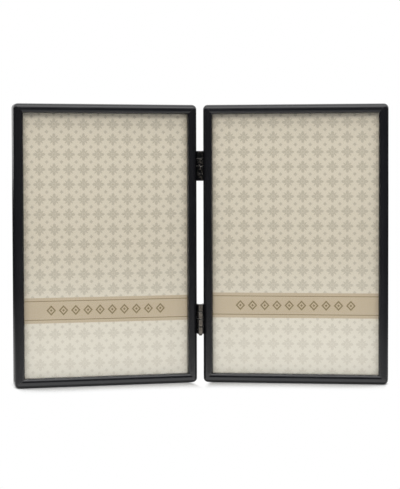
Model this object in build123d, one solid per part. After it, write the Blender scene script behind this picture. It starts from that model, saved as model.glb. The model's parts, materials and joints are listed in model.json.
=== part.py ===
from build123d import *
import os

# Hinged double photo frame: two glazed metal panels on a pair of four-knuckle hinges,
# standing part open like a book, with the hinges at the back of the V.
# Millimetres. X runs to the right, Y away from the viewer, Z up.
# The right panel is drawn as if the frame lay open flat, with the axis of the hinge pins
# on the Z axis. The left panel is its mirror image. Both are then swung to the standing angle.

# Pane, print and board share one outline, cut for a 4 x 6 inch print.
PANE_W = 101.9
PANE_H = 155.3
PANE_CLEARANCE = 0.7
GLASS_T = 1.6
INSERT_PLAY = 0.05
INSERT_T = 0.25
BOARD_T = 1.8
PILE_T = 0.4

# Moulding: a round bead in front, its crest a little nearer the picture than the outer edge,
# a side wall behind it and a narrow lip at the rear.
FACE = 5.4
CREST = 3.1
BEAD_SKIRT = 1.4
WALL = 0.85
REAR_LIP_W = 0.6
REAR_LIP_T = 0.8
REAR_EDGE_R = 1.0
CORNER_R = 2.6

# Turn buttons on the back of the board.
BUTTON_T = 0.5
BUTTON_REACH = 9.0
BUTTON_HEEL_R = 3.2
BUTTON_TIP_W = 4.4
BUTTON_TIP_CLEARANCE = 0.15
BUTTON_LIFT = 0.05
BUTTON_PLAY = 0.1
BUTTON_SPREAD = 92.0
BUTTON_RIVET_D = 2.2
BUTTON_RIVET_HEAD_D = 4.2
BUTTON_RIVET_HEAD_T = 0.6
BUTTON_RIVET_FOOT_D = 3.6
RUNNING_PLAY = 0.05

# Hinges: leaves riveted to the side walls, rolled into knuckles round a plain pin.
# The pins are tight in the left leaves. The lower one has slipped down a little.
HINGE_H = 17.0
UPPER_HINGE_INSET = 34.7
LOWER_HINGE_INSET = 36.4
KNUCKLE_COUNT = 4
KNUCKLE_PLAY = 0.15
KNUCKLE_BEVEL = 0.3
LEAF_T = 0.9
LEAF_WIDTH = 5.4
LEAF_CORNER_R = 1.2
LEAF_SETBACK = 0.6
NOTCH_PLAY = 0.2
ROLL_SEAM = 0.2
PIN_D = 2.0
PIN_BEVEL = 0.3
UPPER_PIN_DROP = 0.0
LOWER_PIN_DROP = 0.9
HINGE_RIVET_D = 1.6
HINGE_RIVET_HEAD_D = 2.8
HINGE_RIVET_TAIL_D = 2.4
HINGE_RIVET_TAIL_CLEARANCE = 0.25
HINGE_RIVET_PITCH = 8.8

# Standing pose, and the gap left between the two faces when the frame is shut.
OPEN_ANGLE = 156.7
CLOSED_GAP = 0.5

# Sizes that follow from those above.
PANEL_W = PANE_W + 2 * (PANE_CLEARANCE + WALL)
PANEL_H = PANE_H + 2 * (PANE_CLEARANCE + WALL)
INNER_R = FACE - CREST
SEAT = INNER_R + BEAD_SKIRT
INSERT_FRONT = SEAT + GLASS_T + INSERT_PLAY
BOARD_FRONT = INSERT_FRONT + INSERT_T
PILE_FRONT = BOARD_FRONT + BOARD_T
PILE_BACK = PILE_FRONT + PILE_T
BUTTON_FRONT = PILE_BACK + BUTTON_LIFT
BUTTON_BACK = BUTTON_FRONT + BUTTON_T
LIP_FRONT = BUTTON_BACK + BUTTON_PLAY
DEPTH = LIP_FRONT + REAR_LIP_T
PANE_BOTTOM = WALL
PANE_MID = PANE_BOTTOM + PANE_H / 2
BARREL_R = PIN_D / 2 + RUNNING_PLAY + LEAF_T
EDGE_X = BARREL_R - LEAF_SETBACK
FRONT_Y = CLOSED_GAP / 2
LEAF_X = EDGE_X - LEAF_T
LEAF_FRONT = BARREL_R + NOTCH_PLAY
SWING = (180 - OPEN_ANGLE) / 2

TO_PANEL = Pos(EDGE_X, FRONT_Y, 0)
LOW = (Align.MIN, Align.MIN, Align.MIN)
ON_BASE = (Align.CENTER, Align.CENTER, Align.MIN)


def turned(*half_section):
    """Solid of revolution about Z from the (radius, height) points of its half section."""
    face = make_face(Polyline(*half_section, close=True).edges())
    return revolve(Plane.XZ * face, Axis.Z)


def moulding_section():
    """Section of the moulding: depth from the nose along X, distance in from the outer edge along Y."""
    bend = CenterArc((DEPTH - REAR_EDGE_R, REAR_EDGE_R), REAR_EDGE_R, 270, 90)
    side = Line((DEPTH - REAR_EDGE_R, 0), (CREST, 0))
    outer_bead = CenterArc((CREST, CREST), CREST, 180, 90)
    inner_bead = CenterArc((INNER_R, CREST), INNER_R, 90, 90)
    channel = Polyline(
        (INNER_R, FACE),
        (SEAT, FACE),
        (SEAT, WALL),
        (LIP_FRONT, WALL),
        (LIP_FRONT, WALL + REAR_LIP_W),
        (DEPTH, WALL + REAR_LIP_W),
        (DEPTH, REAR_EDGE_R),
    )
    return make_face((side + outer_bead + inner_bead + channel + bend).edges())


def rail(length):
    """One mitred length of moulding along X, outer edge on Z = 0, with its outer corners rounded."""
    section = moulding_section()
    bar = extrude(Plane.YZ * section, amount=length)
    square = Box(CORNER_R, DEPTH, CORNER_R, align=LOW)
    outer_part = section & Rectangle(DEPTH, CORNER_R, align=(Align.MIN, Align.MIN))
    corner = revolve(
        Plane.YZ.offset(CORNER_R) * outer_part,
        Axis((CORNER_R, 0, CORNER_R), (0, 1, 0)),
        90,
    )
    far_corner = Pos(length, 0, 0) * mirror(corner, about=Plane.YZ)
    bar = bar - square - Pos(length - CORNER_R, 0, 0) * square + corner + far_corner
    past = 2 * FACE
    wedge = make_face(Polyline((0, 0), (length, 0), (length - past, past), (past, past), close=True).edges())
    return bar & extrude(Plane.XZ * wedge, amount=2 * DEPTH, both=True)


def sheet(front, thickness):
    """A sheet of the pane's outline, standing on the floor of the channel."""
    outline = RectangleRounded(PANE_W, PANE_H, CORNER_R)
    slab = extrude(Plane.XZ * outline, amount=-thickness)
    return TO_PANEL * Pos(PANEL_W / 2, front, PANE_MID) * slab


def button_places():
    """Name, pivot place and turn about Y of each of the four turn buttons."""
    inset = WALL + BUTTON_TIP_CLEARANCE + BUTTON_REACH
    for height, rise in (("upper", BUTTON_SPREAD / 2), ("lower", -BUTTON_SPREAD / 2)):
        yield height + "_hinge", (inset, 0, PANE_MID + rise), 180
        yield height + "_outer", (PANEL_W - inset, 0, PANE_MID + rise), 0


def turn_button():
    """Flat tapered button, its pivot on the Y axis and its rounded tip along X."""
    taper = Polyline(
        (0, BUTTON_HEEL_R),
        (0, -BUTTON_HEEL_R),
        (BUTTON_REACH, -BUTTON_TIP_W / 2),
        (BUTTON_REACH, BUTTON_TIP_W / 2),
        close=True,
    )
    outline = (make_face(taper.edges()) & Circle(BUTTON_REACH)) + Circle(BUTTON_HEEL_R)
    outline -= Circle(BUTTON_RIVET_D / 2 + RUNNING_PLAY)
    return Pos(0, BUTTON_FRONT, 0) * extrude(Plane.XZ * outline, amount=-BUTTON_T)


def button_rivet():
    """Rivet through the board: countersunk foot in front, low head behind the button."""
    shank = BUTTON_RIVET_D / 2
    foot = BUTTON_RIVET_FOOT_D / 2
    head = BUTTON_RIVET_HEAD_D / 2
    crown = head - BUTTON_RIVET_HEAD_T / 2
    under_head = BUTTON_BACK + RUNNING_PLAY
    top = under_head + BUTTON_RIVET_HEAD_T
    body = turned(
        (0, BOARD_FRONT),
        (foot, BOARD_FRONT),
        (shank, BOARD_FRONT + foot - shank),
        (shank, under_head),
        (head, under_head),
        (head, top - BUTTON_RIVET_HEAD_T / 2),
        (crown, top),
        (0, top),
    )
    return Rot(-90, 0, 0) * body


def hinge_bases():
    """Name of each hinge, height of its lower end and how far its pin has slipped down."""
    yield "upper", PANEL_H - UPPER_HINGE_INSET - HINGE_H / 2, UPPER_PIN_DROP
    yield "lower", LOWER_HINGE_INSET - HINGE_H / 2, LOWER_PIN_DROP


def hinge_leaf(first_knuckle, play):
    """Right-hand leaf on its pin axis: flat plate, and every second knuckle rolled from its edge."""
    pitch = (HINGE_H + KNUCKLE_PLAY) / KNUCKLE_COUNT
    knuckle_h = pitch - KNUCKLE_PLAY
    outline = Pos(LEAF_FRONT, 0) * Rectangle(LEAF_WIDTH, HINGE_H, align=(Align.MIN, Align.MIN))
    rear = outline.vertices().group_by(Axis.X)[-1]
    outline = fillet(rear, LEAF_CORNER_R)
    leaf = Pos(LEAF_X, 0, 0) * extrude(Plane.YZ * outline, amount=LEAF_T)
    neck = Pos(LEAF_X, 0, 0) * Box(LEAF_T, LEAF_FRONT, knuckle_h, align=LOW)
    barrel = turned(
        (0, 0),
        (BARREL_R - KNUCKLE_BEVEL, 0),
        (BARREL_R, KNUCKLE_BEVEL),
        (BARREL_R, knuckle_h - KNUCKLE_BEVEL),
        (BARREL_R - KNUCKLE_BEVEL, knuckle_h),
        (0, knuckle_h),
    )
    bore = Cylinder(PIN_D / 2 + play, knuckle_h, align=ON_BASE)
    seam = Pos(LEAF_X - ROLL_SEAM, 0, 0) * Box(ROLL_SEAM, LEAF_FRONT, knuckle_h, align=LOW)
    knuckle = barrel - seam + neck - bore
    for place in range(first_knuckle, KNUCKLE_COUNT, 2):
        leaf += Pos(0, 0, place * pitch) * knuckle
    return leaf


def hinge_pin():
    """Plain pin as long as the hinge, bevelled at both ends."""
    shank = PIN_D / 2
    return turned(
        (0, 0),
        (shank - PIN_BEVEL, 0),
        (shank, PIN_BEVEL),
        (shank, HINGE_H - PIN_BEVEL),
        (shank - PIN_BEVEL, HINGE_H),
        (0, HINGE_H),
    )


def hinge_rivets():
    """Countersunk rivets through the right-hand leaves and the side wall behind them."""
    shank = HINGE_RIVET_D / 2
    head = HINGE_RIVET_HEAD_D / 2
    tail = HINGE_RIVET_TAIL_D / 2
    wall_back = LEAF_T + WALL
    tail_end = wall_back + PANE_CLEARANCE - HINGE_RIVET_TAIL_CLEARANCE
    body = turned(
        (0, 0),
        (head, 0),
        (shank, head - shank),
        (shank, wall_back),
        (tail, wall_back),
        (tail, tail_end),
        (0, tail_end),
    )
    rivets = []
    for _, base, _ in hinge_bases():
        for step in (-HINGE_RIVET_PITCH / 2, HINGE_RIVET_PITCH / 2):
            place = Pos(LEAF_X, LEAF_FRONT + LEAF_WIDTH / 2, base + HINGE_H / 2 + step)
            rivets.append(place * Rot(0, 90, 0) * body)
    return rivets


def panel():
    """Every node of the right-hand panel, as lists of solids, with the frame lying open flat."""
    fixings = hinge_rivets()
    rivets = [TO_PANEL * Pos(*place) * button_rivet() for _, place, _ in button_places()]
    hinge_stile = TO_PANEL * Pos(0, 0, PANEL_H) * Rot(0, 90, 0) * rail(PANEL_H)
    board = sheet(BOARD_FRONT, BOARD_T)
    pile = sheet(PILE_FRONT, PILE_T)
    nodes = {
        "bottom_rail": [TO_PANEL * rail(PANEL_W)],
        "top_rail": [TO_PANEL * Pos(PANEL_W, 0, PANEL_H) * Rot(0, 180, 0) * rail(PANEL_W)],
        "outer_stile": [TO_PANEL * Pos(PANEL_W, 0, 0) * Rot(0, -90, 0) * rail(PANEL_H)],
        "hinge_stile": [hinge_stile - fixings],
        "glass": [sheet(SEAT, GLASS_T)],
        "photo_insert": [sheet(INSERT_FRONT, INSERT_T)],
        "backing_board": [board - rivets],
        "velveteen_back": [pile - rivets],
        "turn_button_rivets": rivets,
        "hinge_rivets": fixings,
    }
    for name, place, turn in button_places():
        nodes["turn_button_" + name] = [TO_PANEL * Pos(*place) * Rot(0, turn, 0) * turn_button()]
    return nodes


def standing_nodes():
    """All nodes in their standing places, with the pins' axis still on the Z axis."""
    nodes = {}
    for name, solids in panel().items():
        nodes["right_" + name] = [Rot(0, 0, -SWING) * solid for solid in solids]
        nodes["left_" + name] = [Rot(0, 0, SWING) * mirror(solid, about=Plane.YZ) for solid in solids]
    fixings = hinge_rivets()
    for height, base, drop in hinge_bases():
        right_leaf = Pos(0, 0, base) * hinge_leaf(0, RUNNING_PLAY) - fixings
        left_leaf = Pos(0, 0, base) * hinge_leaf(1, 0) - fixings
        nodes[height + "_hinge_right_leaf"] = [Rot(0, 0, -SWING) * right_leaf]
        nodes[height + "_hinge_left_leaf"] = [Rot(0, 0, SWING) * mirror(left_leaf, about=Plane.YZ)]
        nodes[height + "_hinge_pin"] = [Pos(0, 0, base - drop) * hinge_pin()]
    return nodes


# The origin is the middle of the standing frame's footprint, on the surface it stands on.
# The two panels mirror each other and stand on Z = 0, so only Y has to move.
nodes = standing_nodes()
box = Compound(children=[solid for solids in nodes.values() for solid in solids]).bounding_box()
to_origin = Pos(0, -box.center().Y, 0)

os.makedirs("parts", exist_ok=True)
for name, solids in nodes.items():
    export_step(Compound(children=[to_origin * solid for solid in solids]), f"parts/{name}.step")

print("size", box.size.X, box.size.Y, box.size.Z)
print("panel", PANEL_W, PANEL_H, DEPTH, "pins' axis at Y", -box.center().Y, "swing", SWING)
for name, place, _ in button_places():
    flat = TO_PANEL * Pos(*place) * Pos(0, BUTTON_FRONT, 0)
    pivot = (to_origin * Rot(0, 0, -SWING) * flat).position
    print("right turn button", name, "pivot", pivot.X, pivot.Y, pivot.Z)
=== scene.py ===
"""A hinged double photo frame in black metal, dressed for its studio view.

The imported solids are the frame, the glass, the boards and the hardware. This script gives each of
them its finish, lays a velveteen cloth over each backing board, and sets the studio and the camera.
"""
import json
import math

import bmesh
import bpy
from mathutils import Matrix, Vector, noise


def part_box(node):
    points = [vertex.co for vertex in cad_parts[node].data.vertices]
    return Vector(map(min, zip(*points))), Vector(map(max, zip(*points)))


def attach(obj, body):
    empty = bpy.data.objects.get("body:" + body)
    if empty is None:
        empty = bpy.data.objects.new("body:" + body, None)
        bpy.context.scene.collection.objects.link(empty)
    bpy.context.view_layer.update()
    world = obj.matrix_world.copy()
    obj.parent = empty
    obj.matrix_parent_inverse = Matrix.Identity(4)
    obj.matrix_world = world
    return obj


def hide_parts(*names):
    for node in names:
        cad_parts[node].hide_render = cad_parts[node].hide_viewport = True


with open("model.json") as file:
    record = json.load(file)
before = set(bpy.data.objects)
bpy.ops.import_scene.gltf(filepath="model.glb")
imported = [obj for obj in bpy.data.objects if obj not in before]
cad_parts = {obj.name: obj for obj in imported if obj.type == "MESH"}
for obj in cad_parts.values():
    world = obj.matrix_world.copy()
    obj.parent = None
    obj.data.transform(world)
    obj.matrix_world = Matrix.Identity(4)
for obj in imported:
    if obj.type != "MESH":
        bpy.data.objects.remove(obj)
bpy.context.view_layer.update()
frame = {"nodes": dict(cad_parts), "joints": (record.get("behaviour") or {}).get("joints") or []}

MM = 0.001
UP = Vector((0, 0, 1))
FRONT = Vector((0, -1, 0))
SIDES = ("left", "right")

# Camera, fitted to the outline of the two panels. Angles are in degrees, pitch is downwards.
IMAGE_SIZE = (400, 489)
FOCAL_PIXELS = 1667.6
SENSOR_WIDTH = 36.0
CAMERA_PLACE = Vector((-67.04, -941.07, 117.79)) * MM
CAMERA_YAW = -4.039
CAMERA_PITCH = 2.342
CAMERA_ROLL = -0.145

# Studio, in metres. Radiance 1 is white.
AMBIENT = 0.3
LIGHT_TARGET = Vector((0.0, 0.0, 0.08))
TOP_PLACE = Vector((0.0, 0.0, 0.95))
TOP_SIZE = (1.7, 1.0)
TOP_RADIANCE = 0.85
KEY_PLACE = Vector((-0.1, -1.09, 0.79))
KEY_SIZE = (1.2, 0.55)
KEY_RADIANCE = 5.0
SOFTBOX_PLACE = Vector((0.0, -0.46, 1.18))
SOFTBOX_SIZE = (1.7, 0.5)
SOFTBOX_RADIANCE = 1.37
FLOOR_REACH = 6.0
FLOOR_GREY = 0.53
FLOOR_MOTTLE = 0.01

# Shade on the table. Each pair runs from full shade to plain white: by how open a spot is, as a share,
# then in metres along a panel, at its outer end and at the gap, and for reflections across it.
SHADE_REACH = 0.04
SHADE_SAMPLES = 16
SHADE_OPEN = (0.57, 0.92)
SHADE_END = (0.1042, 0.1072)
SHADE_GAP = (0.007, 0.0035)
SHADE_MIRRORED_FRONT = (-0.0008, 0.0006)
SHADE_MIRRORED_BACK = (-0.010, -0.014)

# Dark curtain, and a floor with a painted pool of light fading into painted shade, which only
# reflections show, in metres and degrees
CURTAIN_RADIUS = 0.8
CURTAIN_HEIGHT = 0.75
CURTAIN_BACK_SHARE = 0.1
CURTAIN_SPREAD = 160
CURTAIN_STEPS = 32
CURTAIN_HOLE = (0.113, 0.03)
CURTAIN_LIFT = 0.001
CURTAIN_TONES = (0.006, 0.011)
POOL_LIGHT_LEVEL = 0.72
POOL_FADE_SPAN = (-0.3, 0.8)

# Wear of the hinges, and the painted glints at the ends of the knuckles, in millimetres. Above the first
# height the paint mostly stays, and below the second it is rubbed.
RUBBED_HEIGHTS = (100.0, 60.0)
KNUCKLE_EDGE = 0.42
BEVEL_SAMPLES = 6

# Rosettes of the printed inserts. The pitch is in millimetres, lengths and edges are shares of it,
# and the two points are powers that sharpen the tips.
MOTIF_PITCH = 8.4
MOTIF_SOFTNESS = 0.035
PETAL_CORE = 0.07
PETAL_LENGTH = 0.34
PETAL_POINT = 1.6
LEAF_LENGTH = 0.37
LEAF_POINT = 5.0
EYE_RING = (0.085, 0.125)
EYE_SOFTNESS = 0.02
EYE_PALENESS = 0.6
DIAMOND_EDGE = (0.84, 0.90)

# Tan band and fading of the printed inserts, in millimetres. A lozenge's ring, core and softness are
# shares of its size.
PAPER_FADE = (5.0, 85.0)
BAND_LOW = {"left": 35.75, "right": 37.0}
BAND_HIGH = {"left": 50.05, "right": 51.3}
BAND_EDGE = 0.15
RULE_INSET = 1.9
RULE_HALF_WIDTH = 0.2
RULE_SOFTNESS = 0.08
LOZENGE_PITCH = 7.0
LOZENGE_HALF_WIDTH = 2.7
LOZENGE_HALF_HEIGHT = 2.9
LOZENGE_COUNT = 10
LOZENGE_RING = (0.62, 1.0)
LOZENGE_CORE = (0.34, 0.24)
LOZENGE_SOFTNESS = 0.06
ROW_END_SOFTNESS = 0.1

# Velveteen cloth, in millimetres and degrees
CLOTH_CELL = 3.0
NAP_DEPTH = 0.05
NAP_SIZE = 14.0
CLOTH_EDGE_R = 0.12
CLOTH_EDGE_ANGLE = 50
CLOTH_SHARP_ANGLE = 40
WELD = 0.0005


def srgb(red, green, blue):
    """A colour as it looks on screen, 0 to 255, in the linear values that shaders take."""
    shares = (red / 255, green / 255, blue / 255)
    linear = [s / 12.92 if s <= 0.04045 else ((s + 0.055) / 1.055) ** 2.4 for s in shares]
    return (*linear, 1.0)


class Graph:
    """One material's nodes, with a short call for each kind that the finishes share."""

    def __init__(self, name):
        self.material = bpy.data.materials.new(name)
        self.material.use_nodes = True
        self.tree = self.material.node_tree
        self.tree.nodes.clear()
        self.place = self.add("ShaderNodeTexCoord").outputs["Object"]

    def add(self, kind, **settings):
        node = self.tree.nodes.new(kind)
        for key, value in settings.items():
            setattr(node, key, value)
        return node

    def feed(self, socket, value):
        if isinstance(value, bpy.types.NodeSocket):
            self.tree.links.new(value, socket)
        else:
            socket.default_value = value

    def math(self, operation, *values):
        node = self.add("ShaderNodeMath", operation=operation)
        for socket, value in zip(node.inputs, values):
            self.feed(socket, value)
        return node.outputs["Value"]

    def vector(self, operation, first, second):
        node = self.add("ShaderNodeVectorMath", operation=operation)
        self.feed(node.inputs[0], first)
        self.feed(node.inputs[1], second)
        return node.outputs["Value" if operation == "DOT_PRODUCT" else "Vector"]

    def step(self, value, start, end, low=0.0, high=1.0):
        """A smooth change from low to high while value goes from start to end."""
        node = self.add("ShaderNodeMapRange", interpolation_type="SMOOTHSTEP")
        for key, setting in zip(node.inputs[:5], (value, start, end, low, high)):
            self.feed(key, setting)
        return node.outputs["Result"]

    def inside(self, value, low, high, softness):
        """1 between low and high, 0 outside, with soft edges."""
        rise = self.step(value, low - softness, low + softness)
        fall = self.step(value, high - softness, high + softness, 1.0, 0.0)
        return self.math("MULTIPLY", rise, fall)

    def noise(self, size, detail=3.0, stretch=(1, 1, 1)):
        """Noise from 0 to 1 with features of that size in millimetres, drawn out by stretch."""
        node = self.add("ShaderNodeTexNoise")
        shrink = tuple(1 / share for share in stretch)
        self.feed(node.inputs["Vector"], self.vector("MULTIPLY", self.place, shrink))
        node.inputs["Scale"].default_value = 1 / (size * MM)
        node.inputs["Detail"].default_value = detail
        return node.outputs["Fac"]

    def height(self):
        """Height over the floor, in millimetres."""
        return self.math("DIVIDE", self.vector("DOT_PRODUCT", self.place, tuple(UP)), MM)

    def blend(self, factor, under, over):
        """Two colours mixed. The node's colour sockets share names, so they go by number."""
        node = self.add("ShaderNodeMix", data_type="RGBA")
        self.feed(node.inputs[0], factor)
        self.feed(node.inputs[6], under)
        self.feed(node.inputs[7], over)
        return node.outputs[2]

    def bump(self, height, depth, base=None):
        """A normal from a height of 0 to 1, which stands for that depth in millimetres."""
        node = self.add("ShaderNodeBump")
        node.inputs["Distance"].default_value = depth * MM
        self.feed(node.inputs["Height"], height)
        if base:
            self.feed(node.inputs["Normal"], base)
        return node.outputs["Normal"]

    def rounded(self, radius):
        """The normal of a piece whose sharp edges are rounded over a radius in millimetres."""
        bevel = self.add("ShaderNodeBevel", samples=BEVEL_SAMPLES)
        bevel.inputs["Radius"].default_value = radius * MM
        return bevel.outputs["Normal"]

    def edges(self, radius):
        """1 on the sharp edges of a piece, 0 on its flats, over a radius in millimetres."""
        normal = self.add("ShaderNodeNewGeometry").outputs["Normal"]
        likeness = self.vector("DOT_PRODUCT", self.rounded(radius), normal)
        return self.step(likeness, 0.98, 0.80)

    def principled(self, **inputs):
        node = self.add("ShaderNodeBsdfPrincipled")
        for key, value in inputs.items():
            self.feed(node.inputs[key.replace("_", " ")], value)
        return node.outputs["BSDF"]

    def done(self, shader):
        output = self.add("ShaderNodeOutputMaterial")
        self.tree.links.new(shader, output.inputs["Surface"])
        return self.material


# Finishes of the metal pieces


def black_enamel():
    """Satin black enamel on the moulding: a faint orange peel, and thin spots along the edges."""
    g = Graph("black_enamel")
    cloud = g.noise(18)
    peel = g.noise(0.7, detail=2.0)
    coat = g.blend(cloud, srgb(22, 22, 25), srgb(31, 31, 34))
    worn = g.math("MULTIPLY", g.edges(0.25), g.step(g.noise(2.5), 0.45, 0.7, 0.0, 0.5))
    return g.done(g.principled(
        Base_Color=g.blend(worn, coat, srgb(104, 98, 92)),
        Roughness=g.step(cloud, 0.3, 0.7, 0.17, 0.25),
        Specular_IOR_Level=0.7,
        Normal=g.bump(peel, 0.004),
    ))


def worn_hinge_and_glints():
    """Black paint on the hinges, rubbed down to dark steel on the front and the ends of the knuckles.

    The lower hinge is rubbed more than the upper one. Chips at the knuckle ends are also painted glints.
    """
    g = Graph("worn_hinge_and_glints")
    scuff = g.noise(1.1, detail=5.0)
    normal = g.add("ShaderNodeTexCoord").outputs["Normal"]
    facing = g.vector("DOT_PRODUCT", normal, tuple(FRONT))
    ends = g.math("MULTIPLY", g.edges(KNUCKLE_EDGE), g.step(scuff, 0.42, 0.56))
    # Chips at the knuckle ends that face the front: worn paint, and painted glints as well
    chips_and_glints = g.math("MULTIPLY", ends, g.step(facing, 0.3, 0.7))
    rubbed = g.math("MAXIMUM", g.step(g.height(), *RUBBED_HEIGHTS), g.step(scuff, 0.55, 0.63))
    crown = g.math("MULTIPLY", g.step(facing, 0.83, 0.96), rubbed)
    bare = g.math("MAXIMUM", chips_and_glints, g.math("MULTIPLY", crown, g.step(scuff, 0.3, 0.5, 0.7, 1.0)))
    steel_tone = g.blend(g.step(scuff, 0.35, 0.7), srgb(188, 179, 168), srgb(155, 146, 135))
    # Near-white, less metallic steel on the chips: a painted glint over the worn metal
    metal = g.blend(chips_and_glints, steel_tone, srgb(238, 234, 226))
    rough = g.step(scuff, 0.3, 0.7, 0.1, 0.17)
    return g.done(g.principled(
        Base_Color=g.blend(bare, srgb(12, 12, 13), metal),
        Metallic=g.math("MULTIPLY_ADD", chips_and_glints, -0.45, bare),
        Roughness=g.math("MULTIPLY_ADD", chips_and_glints, 0.3, rough),
        Normal=g.bump(scuff, 0.006, g.rounded(KNUCKLE_EDGE)),
    ))


def steel(name, dull, bright, grain):
    """Plated sheet steel with a brushed grain and a little tarnish."""
    g = Graph(name)
    brush = g.noise(0.25, detail=4.0, stretch=grain)
    tarnish = g.noise(3.5, detail=4.0)
    plate = g.blend(g.step(tarnish, 0.35, 0.7), bright, dull)
    return g.done(g.principled(
        Base_Color=g.blend(g.math("MULTIPLY", g.edges(0.12), 0.5), plate, srgb(226, 224, 219)),
        Metallic=1.0,
        Roughness=g.step(brush, 0.25, 0.75, 0.24, 0.42),
        Normal=g.bump(brush, 0.006),
    ))


# Finishes of the glass, the board and the cloth


def clear_glass():
    """A clear pane that lets the light of the lamps through to the print."""
    g = Graph("clear_glass")
    smear = g.noise(30, detail=2.0, stretch=(1, 1, 3))
    pane = g.principled(
        Base_Color=(1.0, 1.0, 1.0, 1.0),
        Roughness=g.step(smear, 0.55, 0.8, 0.0, 0.02),
        IOR=1.5,
        Transmission_Weight=1.0,
    )
    path = g.add("ShaderNodeLightPath")
    passing = g.math("MAXIMUM", path.outputs["Is Shadow Ray"], path.outputs["Is Diffuse Ray"])
    mix = g.add("ShaderNodeMixShader")
    g.feed(mix.inputs["Fac"], passing)
    g.feed(mix.inputs[1], pane)
    g.feed(mix.inputs[2], g.add("ShaderNodeBsdfTransparent").outputs["BSDF"])
    return g.done(mix.outputs["Shader"])


def hardboard():
    """Pressed brown fibre board."""
    g = Graph("hardboard")
    fibre = g.noise(0.8, detail=6.0, stretch=(1, 1, 4))
    fleck = g.noise(0.35, detail=2.0)
    body = g.blend(fibre, srgb(104, 76, 52), srgb(150, 116, 82))
    return g.done(g.principled(
        Base_Color=g.blend(g.step(fleck, 0.62, 0.72), body, srgb(70, 50, 36)),
        Roughness=g.step(fibre, 0.3, 0.7, 0.75, 0.9),
        Normal=g.bump(fibre, 0.05),
    ))


def black_velveteen():
    """Short black pile; its lighter and darker brushed patches are a painted sheen of the nap."""
    g = Graph("black_velveteen")
    pile = g.noise(0.3, detail=2.0)
    # Painted sheen: large lighter and darker patches where the brushed nap would catch the light
    brushed = g.noise(16, detail=3.0, stretch=(1, 1, 2.2))
    tone = g.math("ADD", g.math("MULTIPLY", brushed, 0.65), g.math("MULTIPLY", pile, 0.35))
    return g.done(g.principled(
        Base_Color=g.blend(g.step(tone, 0.3, 0.7), srgb(24, 24, 26), srgb(58, 57, 59)),
        Roughness=g.step(pile, 0.2, 0.8, 0.85, 1.0),
        Specular_IOR_Level=0.15,
        Sheen_Weight=0.35,
        Sheen_Roughness=0.4,
        Normal=g.bump(pile, 0.08),
    ))


# Printed paper inserts


def rosettes(g, across, height):
    """Eight-part rosettes on a square grid, with small diamonds between them, from 0 to 1."""
    cell_x = g.math("SUBTRACT", g.math("FRACT", g.math("DIVIDE", across, MOTIF_PITCH)), 0.5)
    cell_y = g.math("SUBTRACT", g.math("FRACT", g.math("DIVIDE", height, MOTIF_PITCH)), 0.5)
    radius = g.math("SQRT", g.math("ADD",
        g.math("MULTIPLY", cell_x, cell_x),
        g.math("MULTIPLY", cell_y, cell_y),
    ))
    double_angle = g.math("MULTIPLY", g.math("ARCTAN2", cell_y, cell_x), 2.0)
    petal = g.math("POWER", g.math("ABSOLUTE", g.math("COSINE", double_angle)), PETAL_POINT)
    leaf = g.math("POWER", g.math("ABSOLUTE", g.math("SINE", double_angle)), LEAF_POINT)
    petal_reach = g.math("MULTIPLY_ADD", petal, PETAL_LENGTH, PETAL_CORE)
    leaf_reach = g.math("MULTIPLY", leaf, LEAF_LENGTH)
    gap = g.math("SUBTRACT", radius, g.math("MAXIMUM", petal_reach, leaf_reach))
    flower = g.step(gap, MOTIF_SOFTNESS, -MOTIF_SOFTNESS)
    eye = g.inside(radius, *EYE_RING, EYE_SOFTNESS)
    corner = g.math("ADD", g.math("ABSOLUTE", cell_x), g.math("ABSOLUTE", cell_y))
    diamond = g.step(corner, *DIAMOND_EDGE)
    paled = g.math("MULTIPLY", flower, g.math("SUBTRACT", 1.0, g.math("MULTIPLY", eye, EYE_PALENESS)))
    return g.math("MAXIMUM", paled, diamond)


def band_ornament(g, across, height, low, high):
    """Two fine rules with a row of lozenges between them, from 0 to 1."""
    rules = []
    for middle in (low + RULE_INSET, high - RULE_INSET):
        rules.append(g.inside(height, middle - RULE_HALF_WIDTH, middle + RULE_HALF_WIDTH, RULE_SOFTNESS))
    cell = g.math("SUBTRACT", g.math("FRACT", g.math("DIVIDE", across, LOZENGE_PITCH)), 0.5)
    share_x = g.math("ABSOLUTE", g.math("MULTIPLY", cell, LOZENGE_PITCH / LOZENGE_HALF_WIDTH))
    rise = g.math("SUBTRACT", height, (low + high) / 2)
    share_y = g.math("ABSOLUTE", g.math("DIVIDE", rise, LOZENGE_HALF_HEIGHT))
    size = g.math("ADD", share_x, share_y)
    outline = g.inside(size, *LOZENGE_RING, LOZENGE_SOFTNESS)
    core = g.step(size, *LOZENGE_CORE)
    row_end = LOZENGE_COUNT * LOZENGE_PITCH / 2
    row = g.inside(across, -row_end, row_end, ROW_END_SOFTNESS)
    lozenges = g.math("MULTIPLY", g.math("MAXIMUM", outline, core), row)
    return g.math("MAXIMUM", g.math("MAXIMUM", *rules), lozenges)


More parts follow.
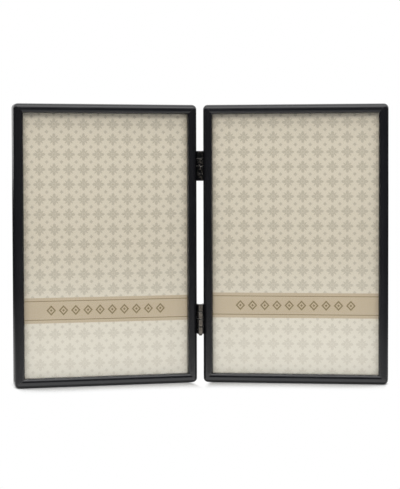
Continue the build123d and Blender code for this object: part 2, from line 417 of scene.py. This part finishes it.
def printed_paper(side, normal):
    """Cream paper with a pale all-over print, fading downwards, and a tan band with an ornament."""
    g = Graph(f"{side}_printed_paper")
    low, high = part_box(f"{side}_photo_insert")
    from_middle = g.vector("SUBTRACT", g.place, tuple((low + high) / 2))
    along = normal.cross(UP)
    across = g.math("DIVIDE", g.vector("DOT_PRODUCT", from_middle, tuple(along)), MM)
    from_floor = g.height()

    lift = BAND_LOW[side] - BAND_LOW["left"]
    fade = g.step(from_floor, *PAPER_FADE)
    cream = g.blend(fade, srgb(232, 227, 212), srgb(212, 203, 183))
    ink = g.blend(fade, srgb(220, 214, 198), srgb(186, 177, 157))
    motif = rosettes(g, across, g.math("SUBTRACT", from_floor, lift))
    sheet = g.blend(motif, cream, ink)

    tan = g.blend(g.noise(40), srgb(186, 168, 139), srgb(201, 186, 159))
    gold = band_ornament(g, across, from_floor, BAND_LOW[side], BAND_HIGH[side])
    label = g.blend(g.math("MULTIPLY", gold, 0.85), tan, srgb(112, 95, 44))
    band = g.inside(from_floor, BAND_LOW[side], BAND_HIGH[side], BAND_EDGE)

    grain = g.noise(0.4, detail=3.0)
    printed = g.blend(band, sheet, label)
    return g.done(g.principled(
        Base_Color=g.blend(g.step(grain, 0.3, 0.7, 0.0, 0.05), printed, srgb(160, 150, 130)),
        Roughness=g.step(grain, 0.3, 0.7, 0.5, 0.62),
        Specular_IOR_Level=0.3,
        Normal=g.bump(grain, 0.01),
    ))


# Velveteen cloth over the backing boards


def velveteen_cloth(side, normal, material):
    """The cloth that covers a backing board: the punched sheet with a brushed nap and soft edges."""
    node = frame["nodes"][f"{side}_velveteen_back"]
    mesh = bpy.data.meshes.new(f"{side}_velveteen_cloth")
    points = [v.co for v in node.data.vertices]
    faces = [list(p.vertices) for p in node.data.polygons]
    mesh.from_pydata(points, [], faces)

    bm = bmesh.new()
    bm.from_mesh(mesh)
    bmesh.ops.remove_doubles(bm, verts=bm.verts, dist=WELD * MM)
    along = normal.cross(UP)
    for direction in (along, UP):
        spans = [v.co.dot(direction) for v in bm.verts]
        cells = round((max(spans) - min(spans)) / (CLOTH_CELL * MM))
        pitch = (max(spans) - min(spans)) / cells
        for k in range(1, cells):
            cut = direction * (min(spans) + k * pitch)
            geometry = bm.verts[:] + bm.edges[:] + bm.faces[:]
            bmesh.ops.bisect_plane(bm, geom=geometry, plane_co=cut, plane_no=direction)

    rear = max(v.co.dot(normal) for v in bm.verts)
    for v in bm.verts:
        if rear - v.co.dot(normal) < WELD * MM:
            dip = 0.5 + 0.5 * noise.noise(v.co / (NAP_SIZE * MM))
            v.co -= normal * (dip * NAP_DEPTH * MM)
    bmesh.ops.recalc_face_normals(bm, faces=bm.faces)
    bm.to_mesh(mesh)
    bm.free()
    mesh.shade_smooth()
    mesh.set_sharp_from_angle(angle=math.radians(CLOTH_SHARP_ANGLE))
    mesh.materials.append(material)

    cloth = bpy.data.objects.new(f"{side}_velveteen_cloth", mesh)
    bpy.context.scene.collection.objects.link(cloth)
    rim = cloth.modifiers.new("soft_edge", "BEVEL")
    rim.width = CLOTH_EDGE_R * MM
    rim.segments = 2
    rim.limit_method = "ANGLE"
    rim.angle_limit = math.radians(CLOTH_EDGE_ANGLE)

    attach(cloth, f"{side}_panel")
    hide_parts(f"{side}_velveteen_back")
    spans = [point.dot(along) for point in points]


# Studio


def add_mesh(name, points, faces, material):
    """A piece of the studio, which isn't part of the object."""
    mesh = bpy.data.meshes.new(name)
    mesh.from_pydata(points, [], faces)
    mesh.materials.append(material)
    made = bpy.data.objects.new(name, mesh)
    bpy.context.scene.collection.objects.link(made)
    return made


def floor(axis, rear_normal):
    """A pale table top. The shade along the foot of the panels stays, the rest shows as plain white."""
    g = Graph("white_table")
    paint = g.add("ShaderNodeBsdfDiffuse")
    light = (FLOOR_GREY, FLOOR_GREY, FLOOR_GREY, 1)
    dark = tuple(level - FLOOR_MOTTLE for level in light[:3]) + (1,)
    g.feed(paint.inputs["Color"], g.blend(g.noise(60, detail=2.0), dark, light))

    parts = g.add("ShaderNodeSeparateXYZ")
    g.feed(parts.inputs[0], g.vector("SUBTRACT", g.place, tuple(axis)))
    aside = g.math("ABSOLUTE", parts.outputs["X"])
    back = parts.outputs["Y"]
    sine, cosine, _ = rear_normal
    forward = g.math("SUBTRACT", g.math("MULTIPLY", back, -cosine), g.math("MULTIPLY", aside, sine))
    outward = g.math("SUBTRACT", g.math("MULTIPLY", aside, cosine), g.math("MULTIPLY", back, sine))
    hollow = g.add("ShaderNodeAmbientOcclusion", samples=SHADE_SAMPLES)
    hollow.inputs["Distance"].default_value = SHADE_REACH
    fades = ((hollow.outputs["AO"], SHADE_OPEN), (outward, SHADE_END), (outward, SHADE_GAP))
    total = 0.0
    for value, (start, end) in fades:
        share = g.math("MAXIMUM", g.math("DIVIDE", g.math("SUBTRACT", value, start), end - start), 0.0)
        total = g.math("MULTIPLY_ADD", share, share, total)
    seen_clear = g.step(g.math("SQRT", total), 0.0, 1.0)
    mirrored_clear = g.math("MAXIMUM",
        g.step(forward, *SHADE_MIRRORED_FRONT),
        g.step(forward, *SHADE_MIRRORED_BACK),
    )
    path = g.add("ShaderNodeLightPath")
    mirrored = g.math("MAXIMUM", path.outputs["Is Glossy Ray"], path.outputs["Is Transmission Ray"])

    mix = g.add("ShaderNodeMixShader")
    g.feed(mix.inputs["Fac"], g.math("MAXIMUM",
        g.math("MULTIPLY", seen_clear, path.outputs["Is Camera Ray"]),
        g.math("MULTIPLY", mirrored_clear, mirrored),
    ))
    g.feed(mix.inputs[1], paint.outputs["BSDF"])
    g.feed(mix.inputs[2], g.add("ShaderNodeEmission").outputs["Emission"])
    material = g.done(mix.outputs["Shader"])
    r = FLOOR_REACH
    add_mesh("floor", [(-r, -r, 0), (r, -r, 0), (r, r, 0), (-r, r, 0)], [(0, 1, 2, 3)], material)


def curtain():
    """The dim studio that only reflections show: a dark wall, and a floor that darkens with distance,
    its colour a painted pool of light fading into painted shade.
    """
    g = Graph("dark_curtain")
    cloth = g.add("ShaderNodeBsdfDiffuse")
    distance = g.add("ShaderNodeVectorMath", operation="LENGTH")
    g.feed(distance.inputs[0], g.place)
    # Painted pool of light: near white close by, fading to the dark tone as painted shade
    painted_light_pool = g.step(distance.outputs["Value"], *POOL_FADE_SPAN, POOL_LIGHT_LEVEL, 0.0)
    dark = g.blend(g.noise(200), *((tone, tone, tone, 1) for tone in CURTAIN_TONES))
    g.feed(cloth.inputs["Color"], g.blend(painted_light_pool, dark, (1, 1, 1, 1)))
    material = g.done(cloth.outputs["BSDF"])
    r = CURTAIN_RADIUS
    corners = [(-1, -1), (1, -1), (1, 1), (-1, 1)]
    points = [(x * r, y * r, CURTAIN_LIFT) for x, y in corners]
    points += [(x * CURTAIN_HOLE[0], y * CURTAIN_HOLE[1], CURTAIN_LIFT) for x, y in corners]
    faces = [(k, (k + 1) % 4, 4 + (k + 1) % 4, 4 + k) for k in range(4)]
    for k in range(CURTAIN_STEPS + 1):
        turn = math.radians(CURTAIN_SPREAD * (2 * k / CURTAIN_STEPS - 1))
        x = r * math.sin(turn)
        y = -r * math.cos(turn)
        share = CURTAIN_BACK_SHARE + (1 - CURTAIN_BACK_SHARE) * math.cos(turn / 2) ** 2
        points += [(x, y, CURTAIN_LIFT), (x, y, CURTAIN_HEIGHT * share)]
    for k in range(CURTAIN_STEPS):
        first = 8 + 2 * k
        faces.append((first, first + 2, first + 3, first + 1))
    made = add_mesh("curtain", points, faces, material)
    made.visible_camera = False
    made.visible_diffuse = False
    made.visible_transmission = False
    made.visible_shadow = False


def area_light(name, place, size, radiance):
    """A rectangular lamp that faces the frame and stays out of the picture."""
    light = bpy.data.lights.new(name, "AREA")
    light.shape = "RECTANGLE"
    light.size, light.size_y = size
    light.energy = radiance * math.pi * light.size * light.size_y
    made = bpy.data.objects.new(name, light)
    made.location = place
    made.rotation_euler = (LIGHT_TARGET - place).to_track_quat("-Z", "Y").to_euler()
    made.visible_camera = False
    bpy.context.scene.collection.objects.link(made)
    return made


def lights():
    """A softbox in front that the bead mirrors, and a key and a top light that show in no reflection."""
    area_light("softbox", SOFTBOX_PLACE, SOFTBOX_SIZE, SOFTBOX_RADIANCE)
    key = area_light("key", KEY_PLACE, KEY_SIZE, KEY_RADIANCE)
    top = area_light("top_light", TOP_PLACE, TOP_SIZE, TOP_RADIANCE)
    key.visible_glossy = False
    top.visible_glossy = False


def white_world():
    """White where it shows, and a plain level of light on the object."""
    world = bpy.data.worlds.new("studio")
    bpy.context.scene.world = world
    world.use_nodes = True
    tree = world.node_tree
    tree.nodes.clear()
    path = tree.nodes.new("ShaderNodeLightPath")
    seen = path.outputs["Is Camera Ray"]
    for key in ("Is Glossy Ray", "Is Transmission Ray"):
        either = tree.nodes.new("ShaderNodeMath")
        either.operation = "MAXIMUM"
        tree.links.new(seen, either.inputs[0])
        tree.links.new(path.outputs[key], either.inputs[1])
        seen = either.outputs["Value"]
    level = tree.nodes.new("ShaderNodeMath")
    level.operation = "MULTIPLY_ADD"
    tree.links.new(seen, level.inputs[0])
    level.inputs[1].default_value = 1 - AMBIENT
    level.inputs[2].default_value = AMBIENT
    background = tree.nodes.new("ShaderNodeBackground")
    background.inputs["Color"].default_value = (1, 1, 1, 1)
    tree.links.new(level.outputs["Value"], background.inputs["Strength"])
    output = tree.nodes.new("ShaderNodeOutputWorld")
    tree.links.new(background.outputs["Background"], output.inputs["Surface"])


def camera():
    """The camera at the fitted place, turned about Z, tilted down and rolled."""
    data = bpy.data.cameras.new("camera")
    data.sensor_width = SENSOR_WIDTH
    data.lens = FOCAL_PIXELS * SENSOR_WIDTH / max(IMAGE_SIZE)
    made = bpy.data.objects.new("camera", data)
    turn = Matrix.Rotation(math.radians(CAMERA_YAW), 4, "Z")
    tilt = Matrix.Rotation(math.radians(90 - CAMERA_PITCH), 4, "X")
    roll = Matrix.Rotation(math.radians(CAMERA_ROLL), 4, "Z")
    made.matrix_world = Matrix.Translation(CAMERA_PLACE) @ turn @ tilt @ roll
    bpy.context.scene.collection.objects.link(made)
    bpy.context.scene.camera = made


# Dressing the part

joints = {joint["name"]: joint for joint in frame["joints"]}
rear = {side: Vector(joints[f"{side}_turn_button_upper_outer_turn"]["axis"]) for side in SIDES}
fold_axis = Vector(joints["panel_fold"]["pos_m"])

finishes = {
    "moulding": black_enamel(),
    "hinge": worn_hinge_and_glints(),
    "pin": steel("dark_pin", srgb(112, 106, 98), srgb(150, 143, 133), (1, 1, 6)),
    "glass": clear_glass(),
    "board": hardboard(),
    "velveteen": black_velveteen(),
    "button": steel("plated_spring", srgb(150, 145, 136), srgb(190, 186, 178), (8, 8, 1)),
    "rivet": steel("plated_rivet", srgb(160, 156, 148), srgb(204, 201, 194), (2, 2, 2)),
}
prints = {side: printed_paper(side, rear[side]) for side in SIDES}

for name, node in frame["nodes"].items():
    for slot in node.material_slots:
        kind = slot.material.name.split(".")[0]
        slot.material = prints[name.split("_")[0]] if kind == "print" else finishes[kind]

for side in SIDES:
    velveteen_cloth(side, rear[side], finishes["velveteen"])

floor(fold_axis, rear["right"])
curtain()
lights()
white_world()
camera()
bpy.context.scene.view_settings.view_transform = "Standard"
